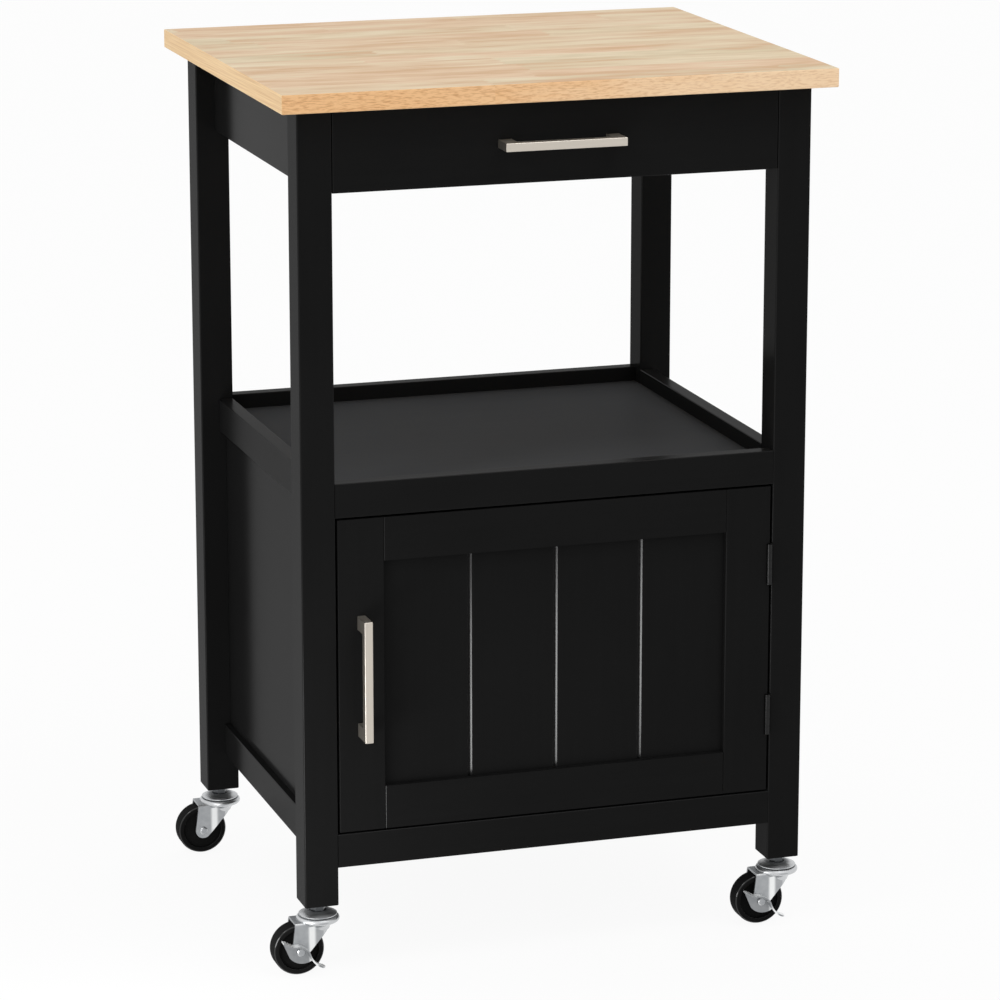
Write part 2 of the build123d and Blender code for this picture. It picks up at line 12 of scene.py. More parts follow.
import bmesh
import bpy
from mathutils import Euler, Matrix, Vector


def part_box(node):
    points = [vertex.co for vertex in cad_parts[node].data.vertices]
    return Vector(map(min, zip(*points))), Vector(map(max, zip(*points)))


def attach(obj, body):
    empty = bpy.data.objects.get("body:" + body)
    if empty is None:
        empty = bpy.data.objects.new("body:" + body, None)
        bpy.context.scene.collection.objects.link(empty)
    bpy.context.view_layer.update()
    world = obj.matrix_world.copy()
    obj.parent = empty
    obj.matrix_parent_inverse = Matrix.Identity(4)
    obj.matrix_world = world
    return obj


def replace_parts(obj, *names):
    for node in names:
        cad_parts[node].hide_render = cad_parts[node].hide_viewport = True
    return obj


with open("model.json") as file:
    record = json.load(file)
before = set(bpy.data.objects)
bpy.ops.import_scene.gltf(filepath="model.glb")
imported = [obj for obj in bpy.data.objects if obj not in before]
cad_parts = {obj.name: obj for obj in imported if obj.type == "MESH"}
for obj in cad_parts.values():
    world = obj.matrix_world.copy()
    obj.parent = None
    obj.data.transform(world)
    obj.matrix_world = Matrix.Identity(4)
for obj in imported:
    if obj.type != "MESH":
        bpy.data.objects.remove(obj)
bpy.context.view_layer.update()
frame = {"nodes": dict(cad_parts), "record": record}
slot_of = {part["node"]: part["material_slot"] for part in frame["record"]["subparts"]}
body_of = {node: body for body, nodes in frame["record"]["behaviour"]["bodies"].items() for node in nodes}
corners = ("front_left", "front_right", "rear_left", "rear_right")
mm = 0.001

# %% [markdown]
# ## The camera
#
# The cart was photographed from its front left, a little above the top, with a long lens. A camera could
# be aimed by hand, but its place, turn and lens were worked out from about thirty edges of the picture, so
# they are written here as they came out. The lens is given for a 36 mm sensor and a square picture.

# %% Camera
camera_place = Vector((-1.2597, -3.9286, 1.4445))
camera_turn = math.radians(17.9)
camera_tilt = math.radians(14.211)
sensor_width = 36
lens_length = 154.59
camera_data = bpy.data.cameras.new("studio_camera")
camera_data.sensor_width = sensor_width
camera_data.lens = lens_length
camera = bpy.data.objects.new("studio_camera", camera_data)
camera.location = camera_place
camera.rotation_euler = Euler((math.radians(90) - camera_tilt, 0, -camera_turn))
bpy.context.scene.collection.objects.link(camera)
bpy.context.scene.camera = camera
bpy.context.scene.view_settings.view_transform = "Standard"
print("camera", tuple(camera_place), "lens", lens_length)

# %% [markdown]
# ## Writing nodes as sums
#
# A finish is a small formula: where a stave ends, how far the grain darkens it. Nodes can be wired one link
# at a time, but the formula is then hard to see. The class below wraps one socket, so that `1 - mask * 0.3`
# adds the Math nodes by itself, and `make` adds any other node with its settings and inputs in one call. It
# works in a material's tree and in a Geometry Nodes tree alike.

# %% One socket with arithmetic
class Wire:
    """A socket of a node tree. Arithmetic on wires adds Math nodes, and make adds any other node."""

    def __init__(self, tree, socket=None):
        self.tree = tree
        self.socket = socket

    def make(self, kind, settings=None, inputs=None, output=0):
        """Adds a node of this kind and gives the wire of one of its outputs."""
        node = self.tree.nodes.new(kind)
        for name, value in (settings or {}).items():
            if name == "stops":
                fill_ramp(node.color_ramp, value)
            else:
                setattr(node, name, value)
        for key, value in (inputs or {}).items():
            connect(self.tree, node.inputs[key], value)
        return Wire(self.tree, node.outputs[output])

    def math(self, operation, *values):
        return self.make("ShaderNodeMath", {"operation": operation}, dict(enumerate((self, *values))))

    def __add__(self, other):
        return self.math("ADD", other)

    def __radd__(self, other):
        return self.math("ADD", other)

    def __sub__(self, other):
        return self.math("SUBTRACT", other)

    def __rsub__(self, other):
        return self.math("MULTIPLY", -1).math("ADD", other)

    def __mul__(self, other):
        return self.math("MULTIPLY", other)

    def __rmul__(self, other):
        return self.math("MULTIPLY", other)

    def __truediv__(self, other):
        return self.math("DIVIDE", other)


def connect(tree, socket, value):
    """Links a wire, or several to a socket that takes many, or sets the socket to a plain value."""
    if isinstance(value, list):
        for wire in value:
            tree.links.new(wire.socket, socket)
    elif isinstance(value, Wire):
        tree.links.new(value.socket, socket)
    else:
        socket.default_value = value


def fill_ramp(ramp, stops):
    """Sets a colour ramp to these places and colours."""
    while len(ramp.elements) < len(stops):
        ramp.elements.new(1)
    for element, (place, colour) in zip(ramp.elements, stops):
        element.position = place
        element.color = (*colour, 1)


print("wires ready")

# %% [markdown]
# ## Starting a finish
#
# Every finish here ends in one Principled shader. Numbers that are the same all over go straight onto its
# sockets, and only what changes over the surface is wired. Patterns read Object coordinates: each piece sits
# at the origin with its place in its mesh, so a pattern keeps its scale in metres and stays put when the
# piece moves. A Mix node has sockets for each kind of data under the same names, so those for colours are
# picked by number.

# %% Helpers for finishes
mix_factor, mix_first, mix_second, mix_result = 0, 6, 7, 2


def shaded(colour, level):
    """A colour times a level, with the alpha that a colour socket needs."""
    return (*(part * level for part in colour), 1)


class Finish:
    """A new material with one Principled shader and the object's own coordinates."""

    def __init__(self, name, **constants):
        self.material = bpy.data.materials.new(name)
        self.material.use_nodes = True
        self.tree = self.material.node_tree
        self.shader = self.tree.nodes["Principled BSDF"]
        for socket, value in constants.items():
            self.shader.inputs[socket.replace("_", " ")].default_value = value
        self.start = Wire(self.tree)
        self.place = self.start.make("ShaderNodeTexCoord", output="Object")
        self.facing = self.start.make("ShaderNodeTexCoord", output="Normal")

    def axes(self, vector):
        """The three numbers of a vector wire."""
        node = self.start.make("ShaderNodeSeparateXYZ", inputs={"Vector": vector}).socket.node
        return [Wire(self.tree, output) for output in node.outputs]

    def vector(self, x, y, z=0):
        """A vector wire from three numbers."""
        return self.start.make("ShaderNodeCombineXYZ", inputs={"X": x, "Y": y, "Z": z})

    def noise(self, vector, scale=1.0, detail=2.0, roughness=0.5):
        inputs = {"Vector": vector, "Scale": scale, "Detail": detail, "Roughness": roughness}
        return self.start.make("ShaderNodeTexNoise", inputs=inputs)

    def grain(self, axis, along, across, detail=2.0, roughness=0.5):
        """Noise drawn out along one axis, as the grain of wood and the lines of brushed metal are."""
        scale = tuple(along if letter == axis else across for letter in "XYZ")
        drawn = self.start.make("ShaderNodeMapping", inputs={"Vector": self.place, "Scale": scale})
        return self.noise(drawn, detail=detail, roughness=roughness)

    def ramp(self, value, stops):
        return self.start.make("ShaderNodeValToRGB", {"stops": stops}, {"Fac": value})

    def mix(self, factor, first, second):
        """One colour laid over another by a factor."""
        inputs = {mix_factor: factor, mix_first: first, mix_second: second}
        return self.start.make("ShaderNodeMix", {"data_type": "RGBA"}, inputs, mix_result)

    def smooth_step(self, value, off, on):
        """0 where the value is at off, 1 where it is at on, and smooth between."""
        inputs = {"Value": value, "From Min": off, "From Max": on}
        return self.start.make("ShaderNodeMapRange", {"interpolation_type": "SMOOTHSTEP"}, inputs)

    def bends(self, off, on):
        """0 on faces square to the axes, 1 on bends, grooves and eased edges."""
        size = self.start.make("ShaderNodeVectorMath", {"operation": "ABSOLUTE"}, {0: self.facing})
        x, y, z = self.axes(size)
        turn = 1 - x.math("MAXIMUM", y).math("MAXIMUM", z)
        return self.smooth_step(turn, off, on)

    def bump(self, height, strength, distance):
        inputs = {"Height": height, "Strength": strength, "Distance": distance}
        return self.start.make("ShaderNodeBump", inputs=inputs)

    def wire(self, socket, value):
        connect(self.tree, self.shader.inputs[socket], value)


print("finish helpers ready")

# %% [markdown]
# ## Satin black paint
#
# The frame is sprayed black over sanded wood: nearly no colour, a soft sheen, a faint orange-peel skin and
# the wood's grain just showing through along each board. One flat black would look like plastic. Paint also
# gathers on eased edges and in grooves, where it dries glossier, so a clear coat is laid there and nowhere
# else. The grain has to run with the board, so the same recipe is made three times, drawn out along X, Y
# or Z. Some boards differ. The side aprons shine a little more. The tray's rails are softer, and its floor
# is duller, with a paler black that is painted sheen: it stands in for the glint the floor shows from above.
# On the door the coat is strongest in the plank lines, less so at the ends of the rails, and nearly sanded
# off the stiles.

# %% Paint
paint_black = (0.0100, 0.0100, 0.0100)
# Painted sheen: the tray floor's black is paler to stand in for the glint it shows from above.
tray_black_painted_sheen = (0.0530, 0.0550, 0.0580)
paint_sheen = 0.0060
apron_sheen = 0.0120
rim_sheen = 0.0075
tray_sheen = 0.0030
paint_rough = 0.18
rim_rough = 0.30
tray_rough = 0.50
rough_spread = 0.06
edge_gloss = 0.2
stile_gloss = 0.03
joint_gloss = 0.5
groove_gloss = 1.0


def satin_paint(name, axis, gloss, sheen=paint_sheen, rough=paint_rough, black=paint_black):
    """Satin black paint with the wood's grain running along one axis and gloss on the bends."""
    finish = Finish(name, Specular_IOR_Level=sheen, Coat_Roughness=0.22)
    grain = finish.grain(axis, along=6, across=160, detail=4.0, roughness=0.6)
    peel = finish.noise(finish.place, scale=900, detail=1.0)
    patches = finish.noise(finish.place, scale=7)
    tone = patches * 0.6 + grain * 0.4
    finish.wire("Base Color", finish.mix(tone, shaded(black, 0.8), shaded(black, 1.2)))
    finish.wire("Roughness", rough + (patches - 0.5) * rough_spread + (grain - 0.5) * rough_spread)
    finish.wire("Coat Weight", finish.bends(off=0.02, on=0.12) * gloss)
    finish.wire("Normal", finish.bump(grain * 0.6 + peel * 0.4, strength=0.06, distance=0.3 * mm))
    return finish.material


print("paint recipe ready, black", paint_black)

# %% Paints for the boards
def rim_paint(axis):
    return satin_paint("rim_black_paint_" + axis, axis, edge_gloss, rim_sheen, rim_rough)


paint = {axis: satin_paint("satin_black_paint_" + axis, axis, edge_gloss) for axis in "XYZ"}
apron_paint = satin_paint("apron_black_paint", "Y", edge_gloss, apron_sheen)
long_rim_paint = rim_paint("X")
short_rim_paint = rim_paint("Y")
tray_paint = satin_paint("tray_black_paint", "X", edge_gloss, tray_sheen, tray_rough, tray_black_painted_sheen)
stile_paint = satin_paint("door_stile_black_paint", "Z", stile_gloss)
rail_paint = satin_paint("door_rail_black_paint", "X", joint_gloss)
plank_paint = satin_paint("planked_black_paint", "Z", groove_gloss)
special_paint = {
    "apron_left": apron_paint,
    "apron_right": apron_paint,
    "tray_rail_front": long_rim_paint,
    "tray_rail_back": long_rim_paint,
    "tray_rail_left": short_rim_paint,
    "tray_rail_right": short_rim_paint,
    "tray_floor": tray_paint,
    "door_stile_left": stile_paint,
    "door_stile_right": stile_paint,
    "door_rail_top": rail_paint,
    "door_rail_bottom": rail_paint,
    "door_panel": plank_paint,
}
all_paints = {material.name for material in (*paint.values(), *special_paint.values())}
print("paint:", sorted(all_paints))

# %% [markdown]
# ## The butcher block
#
# The top is glued from rubberwood staves that run from left to right. Each stave is a few tones off its
# neighbours and ends in a finger joint. The staves could be cut as geometry, but on a sanded top they show
# only as colour, so the shader works them out: the row from Y, the piece from X, and a random tint for each
# pair. The long edges show warmer side grain with dark flecks, reddest on the left, and the ends show pale
# end grain.

# %% Staves and their tones
stave_width = 0.0425
stave_length = 0.29
finger_pitch = 0.012
finger_depth = 0.010
row_spread = 9.7
stave_tones = [
    (0.00, (0.640, 0.517, 0.322)),
    (0.50, (0.685, 0.522, 0.326)),
    (1.00, (0.720, 0.497, 0.312)),
]
pale_streak = (0.750, 0.619, 0.422, 1)
tan_streak = (0.610, 0.375, 0.195, 1)
fine_line = (0.500, 0.310, 0.150, 1)
side_warm = (0.900, 0.545, 0.270, 1)
side_pale = (0.960, 0.700, 0.450, 1)
side_line = (0.480, 0.190, 0.055, 1)
end_pale = (1.000, 0.710, 0.390, 1)
end_line = (0.640, 0.350, 0.135, 1)
streak_strength = 6.0
line_strength = 1.5
warm_until = -0.18
pale_from = 0.20
fleck_level = 0.47
fleck_slope = 5
layer_level = 0.40
layer_slope = 1.7
square_on = 0.6
print("staves", stave_width, "by", stave_length, "in", len(stave_tones), "tones")

# %% Butcher block
def butcher_block():
    finish = Finish("butcher_block", Specular_IOR_Level=0.25)
    x, y, z = finish.axes(finish.place)

    row = ((y + 1) / stave_width).math("FLOOR")
    row_shift = finish.start.make("ShaderNodeTexWhiteNoise", {"noise_dimensions": "1D"}, {"W": row})
    finger = (y / finger_pitch).math("PINGPONG", 0.5) * finger_depth
    piece = ((x + finger) / stave_length + row_shift * row_spread).math("FLOOR")
    pair = finish.vector(row, piece)
    chance = finish.start.make("ShaderNodeTexWhiteNoise", {"noise_dimensions": "2D"}, {"Vector": pair})

    def streaks(along, across, apart, detail, roughness):
        """Noise drawn out along the staves, moved on from stave to stave."""
        drawn = finish.vector(x * along + chance * apart, y * across, z * across)
        return finish.noise(drawn, detail=detail, roughness=roughness)

    grain = streaks(along=9, across=520, apart=31, detail=4.0, roughness=0.65)
    bands = streaks(along=8, across=50, apart=17, detail=3.0, roughness=0.6)
    strokes = streaks(along=140, across=1050, apart=5, detail=2.0, roughness=0.6)
    light = (0.5 - bands).math("MAXIMUM", 0)
    dark = (bands - 0.5).math("MAXIMUM", 0)
    lines = (grain - 0.5).math("MAXIMUM", 0)

    top = finish.mix(light * streak_strength, finish.ramp(chance, stave_tones), pale_streak)
    top = finish.mix(dark * streak_strength, top, tan_streak)
    top = finish.mix(lines * line_strength, top, fine_line)

    right = finish.smooth_step(x, off=warm_until, on=pale_from)
    fleck = ((strokes - fleck_level) * fleck_slope).math("MINIMUM", 1).math("MAXIMUM", 0)
    side = finish.mix(right - dark * 1.5, side_warm, side_pale)
    side = finish.mix(fleck * (0.55 - right * 0.25), side, side_line)

    layers = finish.noise(finish.vector(x * 20, y * 9, z * 900 + y * 14), roughness=0.6)
    end = finish.mix((layers - layer_level).math("MAXIMUM", 0) * layer_slope, end_pale, end_line)

    face_x, face_y, _ = finish.axes(finish.facing)
    on_side = face_y.math("ABSOLUTE").math("GREATER_THAN", square_on)
    on_end = face_x.math("ABSOLUTE").math("GREATER_THAN", square_on)
    finish.wire("Base Color", finish.mix(on_end, finish.mix(on_side, top, side), end))
    finish.wire("Roughness", 0.42 + grain * 0.14)
    finish.wire("Normal", finish.bump(grain * 0.5 - fleck * 0.5, strength=0.10, distance=0.3 * mm))
    return finish.material


block_wood = butcher_block()
print("butcher block:", len(block_wood.node_tree.nodes), "nodes")

# %% [markdown]
# ## Plain drawer wood
#
# Inside, the drawer box and its runners are bare sanded boards, paler and duller than the top. The grain
# runs along each board, so the recipe takes an axis, as the paint does.

# %% Drawer wood
bare_pale = (0.66, 0.50, 0.32)
bare_dark = (0.48, 0.33, 0.19)


def plain_wood(axis):
    finish = Finish("plain_drawer_wood_" + axis, Specular_IOR_Level=0.3)
    grain = finish.grain(axis, along=5, across=130, detail=5.0, roughness=0.6)
    bands = finish.grain(axis, along=1.5, across=24)
    colour = finish.ramp(grain * 0.6 + bands * 0.4, [(0.25, bare_pale), (0.75, bare_dark)])
    finish.wire("Base Color", colour)
    finish.wire("Roughness", 0.55 + grain * 0.15)
    finish.wire("Normal", finish.bump(grain, strength=0.15, distance=0.3 * mm))
    return finish.material


drawer_wood = {axis: plain_wood(axis) for axis in "XYZ"}
print("drawer wood:", len(drawer_wood), "directions")

# %% [markdown]
# ## Satin nickel
#
# The bar handles are satin nickel: warm grey and brushed along the bar. Their edges are paler, a painted
# highlight for the light that they catch. A metal's look comes from what it reflects, so it is fully
# metallic, and apart from that painted highlight the finish only bends the reflections, by a fine brushed
# bump.

# %% Nickel
nickel_dark = (0.52, 0.475, 0.41, 1)
nickel_pale = (0.66, 0.61, 0.545, 1)
nickel_edge_highlight = (0.80, 0.75, 0.68, 1)


def satin_nickel(axis):
    finish = Finish("satin_nickel_" + axis, Metallic=1.0)
    brush = finish.grain(axis, along=20, across=2600)
    edge = finish.bends(off=0.02, on=0.15)
    colour = finish.mix(brush, nickel_dark, nickel_pale)
    # Painted highlight: the edges are mixed towards a paler nickel.
    finish.wire("Base Color", finish.mix(edge * 0.5, colour, nickel_edge_highlight))
    finish.wire("Roughness", 0.40 + brush * 0.12 - edge * 0.08)
    finish.wire("Normal", finish.bump(brush, strength=0.10, distance=0.1 * mm))
    return finish.material


nickel = {axis: satin_nickel(axis) for axis in "XZ"}
print("nickel:", [material.name for material in nickel.values()])

# %% [markdown]
# ## Zinc plate
#
# The casters are bright zinc plate: cooler than nickel, smoother and slightly cloudy. The zinc is smoother on
# the bends of a caster's fork than on the flats, and paler there too, which is a painted highlight. A painted
# highlight also runs down each cheek as a bright streak, a little behind the caster's stem, where the sheet
# starts to close round the nose. The nut under each leg is darker, painted shade from the leg above it. The
# brake levers are darker all over, painted shade that sets them off from the fork, but for their upper faces,
# which carry a painted highlight. Separate materials could be laid on faces picked by hand, but a place and a
# direction tell these faces apart, so the finish finds them by itself.

# %% Zinc plate
zinc_cloud = (0.29, 0.305, 0.32)
zinc_clear = (0.46, 0.47, 0.48)
# Painted highlight: the paler zinc laid on the fork's bends.
zinc_bend_highlight = (0.58, 0.59, 0.60, 1)
# Painted highlight: the bright zinc of the cheek streak and of the levers' upper faces.
zinc_painted_highlight = (0.90, 0.91, 0.91, 1)
# Painted shade: the dark zinc of the nut in the shadow under each leg.
nut_painted_shade = (0.10, 0.105, 0.11, 1)
# Painted shade: the levers' zinc is darker by this much, to set them off from the fork.
lever_painted_shade = 0.75
stem_low, stem_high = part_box("caster_stem_front_right")
stem_x = (stem_low.x + stem_high.x) / 2
streak_place = -9 * mm
streak_core = 1.5 * mm
streak_end = 5 * mm
cheek_square = 0.9
nut_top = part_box("leg_front_right")[0].z
nut_height = 7.5 * mm


def zinc_plate(name, shade, top_highlight):
    """Cloudy zinc plate, with painted highlights on bends, cheek streaks and upper faces, and painted shade.
    """
    finish = Finish(name, Metallic=1.0)
    clouds = finish.noise(finish.place, scale=160, detail=3.0)
    specks = finish.noise(finish.place, scale=1500)
    x, _, z = finish.axes(finish.place)
    _, face_y, face_z = finish.axes(finish.facing)

    bend = finish.bends(off=0.004, on=0.05)
    nut = z.math("LESS_THAN", nut_top) * z.math("GREATER_THAN", nut_top - nut_height)
    # A shade below 1 darkens the flats as painted shade.
    flat = finish.mix(clouds, shaded(zinc_cloud, shade), shaded(zinc_clear, shade))
    # Painted shade on the nut and a painted highlight on the bends go into the plate's colour here.
    plate = finish.mix(nut, finish.mix(bend, flat, zinc_bend_highlight), nut_painted_shade)

    from_stem = x - x.math("SIGN") * stem_x
    from_streak = (from_stem - streak_place).math("ABSOLUTE")
    near = finish.smooth_step(from_streak, off=streak_end, on=streak_core)
    cheek = face_y.math("ABSOLUTE").math("GREATER_THAN", cheek_square)
    low = z.math("LESS_THAN", stem_low.z)
    top = face_z.math("MAXIMUM", 0)
    # Painted highlight: a streak down each cheek behind the stem, and the upper faces as far as asked.
    painted_highlight = (near * cheek * low + top * top_highlight).math("MINIMUM", 1)

    finish.wire("Base Color", finish.mix(painted_highlight, plate, zinc_painted_highlight))
    finish.wire("Roughness", 0.38 + clouds * 0.12 - bend * 0.18 + top * 0.20)
    finish.wire("Normal", finish.bump(clouds * 0.5 + specks * 0.5, strength=0.06, distance=0.2 * mm))
    return finish.material


zinc = zinc_plate("zinc_plate", shade=1.0, top_highlight=0.0)
# The levers' zinc: painted shade all over, and a painted highlight on their upper faces.
lever_zinc = zinc_plate("shaded_highlighted_zinc_plate", shade=lever_painted_shade, top_highlight=1.0)
print("zinc:", zinc.name, lever_zinc.name)

# %% [markdown]
# ## Blackened steel
#
# The small flush screws are blackened steel: dark but still metallic, and cloudy as the zinc is. Black paint
# on them would look flat, because it doesn't mirror what stands round it.

# %% Blackened steel
steel_dark = (0.07, 0.07, 0.075, 1)
steel_pale = (0.16, 0.16, 0.165, 1)


def blackened_steel():
    finish = Finish("blackened_steel", Metallic=1.0)
    clouds = finish.noise(finish.place, scale=900)
    finish.wire("Base Color", finish.mix(clouds, steel_dark, steel_pale))
    finish.wire("Roughness", 0.30 + clouds * 0.15)
    return finish.material


dark_steel = blackened_steel()
print("screw steel:", dark_steel.name)

# %% [markdown]
# ## Black plastic and lacquer
#
# The wheels are moulded hard plastic, dull on the tread and glossy on their rounded rims, the catch is dull
# plastic, and the hinges are lacquered black. They differ in gloss and in grain: moulded parts have a fine
# even texture, lacquer is smoother. A wheel is round, so the rims can't be told from a fixed direction, and
# the mesh carries them as an attribute instead.

# %% Plastics and lacquer
rim_attribute = "rim"
rim_start = 0.10
rim_full = 0.24
wheel_gloss = {"Specular_IOR_Level": 0.01, "Coat_Roughness": 0.10}
catch_gloss = {"Specular_IOR_Level": 0.2}
hinge_gloss = {"Specular_IOR_Level": 0.04, "Coat_Weight": 0.35, "Coat_Roughness": 0.2}


def dark_plastic(name, level, rough, texture, gloss):
    """Moulded plastic or lacquer of this level of black, with a fine even texture."""
    finish = Finish(name, **gloss)
    black = (level, level, level)
    speckle = finish.noise(finish.place, scale=texture)
    patches = finish.noise(finish.place, scale=60)
    finish.wire("Base Color", finish.mix(patches, shaded(black, 0.8), shaded(black, 1.3)))
    finish.wire("Roughness", rough + (patches - 0.5) * 0.12)
    finish.wire("Normal", finish.bump(speckle, strength=0.06, distance=0.2 * mm))
    return finish


def wheel_black():
    """Moulded black, glossy only where the rounded rims carry the rim attribute."""
    finish = dark_plastic("black_wheel_plastic", level=0.009, rough=0.60, texture=1400, gloss=wheel_gloss)
    rim = finish.start.make("ShaderNodeAttribute", {"attribute_name": rim_attribute}, output="Fac")
    inputs = {"Value": rim, "From Min": rim_start, "From Max": rim_full}
    finish.wire("Coat Weight", finish.start.make("ShaderNodeMapRange", inputs=inputs))
    return finish.material


wheel_plastic = wheel_black()
catch = dark_plastic("catch_plastic", level=0.020, rough=0.50, texture=1800, gloss=catch_gloss)
catch_plastic = catch.material
lacquer = dark_plastic("black_hinge_lacquer", level=0.006, rough=0.30, texture=700, gloss=hinge_gloss)
hinge_lacquer = lacquer.material
print("dark finishes:", wheel_plastic.name, catch_plastic.name, hinge_lacquer.name)

# %% [markdown]
# ## Painting the boards
#
# The boards' solids already have their real shape, with eased edges and grooves, so they stay and only
# change material. A board's grain runs along its longest side, which its box tells. Floors and panels follow
# the same rule, except the side aprons, the tray's rails and floor, and the door's boards, which have paints
# of their own. The metal and plastic solids get their finishes here too, and their smooth skins inherit them.

# %% Boards
def long_axis(node):
    low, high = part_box(node)
    size = high - low
    return "XYZ"[max(range(3), key=lambda i: size[i])]


def give(node, material):
    """Puts one material on a solid that keeps its shape."""
    mesh = frame["nodes"][node].data
    mesh.materials.clear()
    mesh.materials.append(material)


counts = {}
for node, slot in slot_of.items():
    axis = long_axis(node)
    choice = {
        "butcher_block": block_wood,
        "black_painted_wood": special_paint.get(node, paint[axis]),
        "drawer_wood": drawer_wood[axis],
        "satin_nickel": nickel["X" if axis == "X" else "Z"],
        "zinc_steel": lever_zinc if "lever" in node else zinc,
        "black_wheel": wheel_plastic,
        "black_hinge_steel": hinge_lacquer,
        "catch_plastic": catch_plastic,
    }[slot]
    give(node, choice)
    counts[choice.name] = counts.get(choice.name, 0) + 1
print("boards and solids finished:", counts)

# %% [markdown]
# ## Smooth skins
#
# A solid's mesh is loose triangles, so a round edge on it shows flat facets. For the handles, the hinges and
# the casters, where the eye follows the reflections, a copy is welded into one skin and shaded smooth except
# at its true edges. Weighted normals then keep the flat faces flat and let only the bends turn the light.

# %% Welding a copy
sharp_angle = math.radians(35)
flat_angle = math.radians(0.5)
weld_distance = 0.002 * mm
area_weight = 100


def plain_mesh(piece):
    """Turns a piece's modifiers into a plain mesh."""
    graph = bpy.context.evaluated_depsgraph_get()
    mesh = bpy.data.meshes.new_from_object(piece.evaluated_get(graph))
    piece.modifiers.clear()
    piece.data = mesh
    mesh.name = piece.name


def welded_copy(node, name):
    """A smooth piece that stands for a solid, with the solid's own shape and finish."""
    mesh = frame["nodes"][node].data.copy()
    skin = bmesh.new()
    skin.from_mesh(mesh)
    bmesh.ops.remove_doubles(skin, verts=skin.verts, dist=weld_distance)
    bmesh.ops.dissolve_degenerate(skin, edges=skin.edges, dist=weld_distance)
    bmesh.ops.dissolve_limit(skin, angle_limit=flat_angle, verts=skin.verts, edges=skin.edges)
    skin.to_mesh(mesh)
    skin.free()
    mesh.shade_smooth()
    mesh.set_sharp_from_angle(angle=sharp_angle)
    piece = bpy.data.objects.new(name, mesh)
    bpy.context.scene.collection.objects.link(piece)
    weights = piece.modifiers.new("flat faces stay flat", "WEIGHTED_NORMAL")
    weights.keep_sharp = True
    weights.weight = area_weight
    plain_mesh(piece)
    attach(piece, body_of[node])
    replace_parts(piece, node)
    return piece


def mark_rims(piece):
    """Stores on each corner of a wheel's faces how far the surface turns between the tread and the side."""
    rim = piece.data.attributes.new(rim_attribute, "FLOAT", "CORNER")
    for corner, normal in enumerate(piece.data.corner_normals):
        sideways = min(1, abs(normal.vector.y))
        rim.data[corner].value = 1 - max(sideways, math.sqrt(1 - sideways * sideways))


print("welding within", weld_distance, "m, edges sharp from", round(math.degrees(sharp_angle)), "degrees")

# %% Welded copies
smooth_nodes = ["drawer_handle", "door_handle", "hinge_frame_leaves", "hinge_door_leaves", "hinge_pins"]
caster_nodes = ("caster_stem_", "caster_fork_", "caster_axle_", "caster_wheel_")
smooth_nodes += [name + corner for corner in corners for name in caster_nodes]
smooth_nodes += ["brake_lever_front_left", "brake_lever_front_right"]
smooth_pieces = [welded_copy(node, node + "_skin") for node in smooth_nodes]
for piece in smooth_pieces:
    if "caster_wheel" in piece.name:
        mark_rims(piece)
print("welded copies:", len(smooth_pieces), "with", sum(len(p.data.polygons) for p in smooth_pieces), "faces")

# %% [markdown]
# ## Screws
#
# Small screws hold the hinges, the catch, its strike plate, the runners and the handles. They repeat, so one
# Geometry Nodes tree makes them all: a domed head is the part that a cylinder and a ball share, two bars cut
# its cross recess, and a shank goes down into the wood. Every point of a bare mesh gets one, turned to face
# the point's own direction, with a seeded twist, because nobody lines screws up. The sizes are inputs in
# millimetres, so a flush hinge screw and a handle's pan head come from the same tree.

# %% Inputs of the screw tree
screw_inputs = {
    "Points": "NodeSocketGeometry",
    "Head Radius": "NodeSocketFloat",
    "Head Height": "NodeSocketFloat",
    "Recess Length": "NodeSocketFloat",
    "Recess Width": "NodeSocketFloat",
    "Recess Depth": "NodeSocketFloat",
    "Shank Radius": "NodeSocketFloat",
    "Shank Length": "NodeSocketFloat",
    "Seed": "NodeSocketInt",
    "Finish": "NodeSocketMaterial",
}
print("screw tree:", len(screw_inputs), "inputs")

# %% The screw tree
facing_attribute = "facing"
crown_share = 0.75
sunk_share = 0.2
cylinder_sides = 32
ball_faces = {"Segments": 48, "Rings": 32}
# A Random Value node has an output for each kind of data, and this one gives plain numbers.
number_output = 1


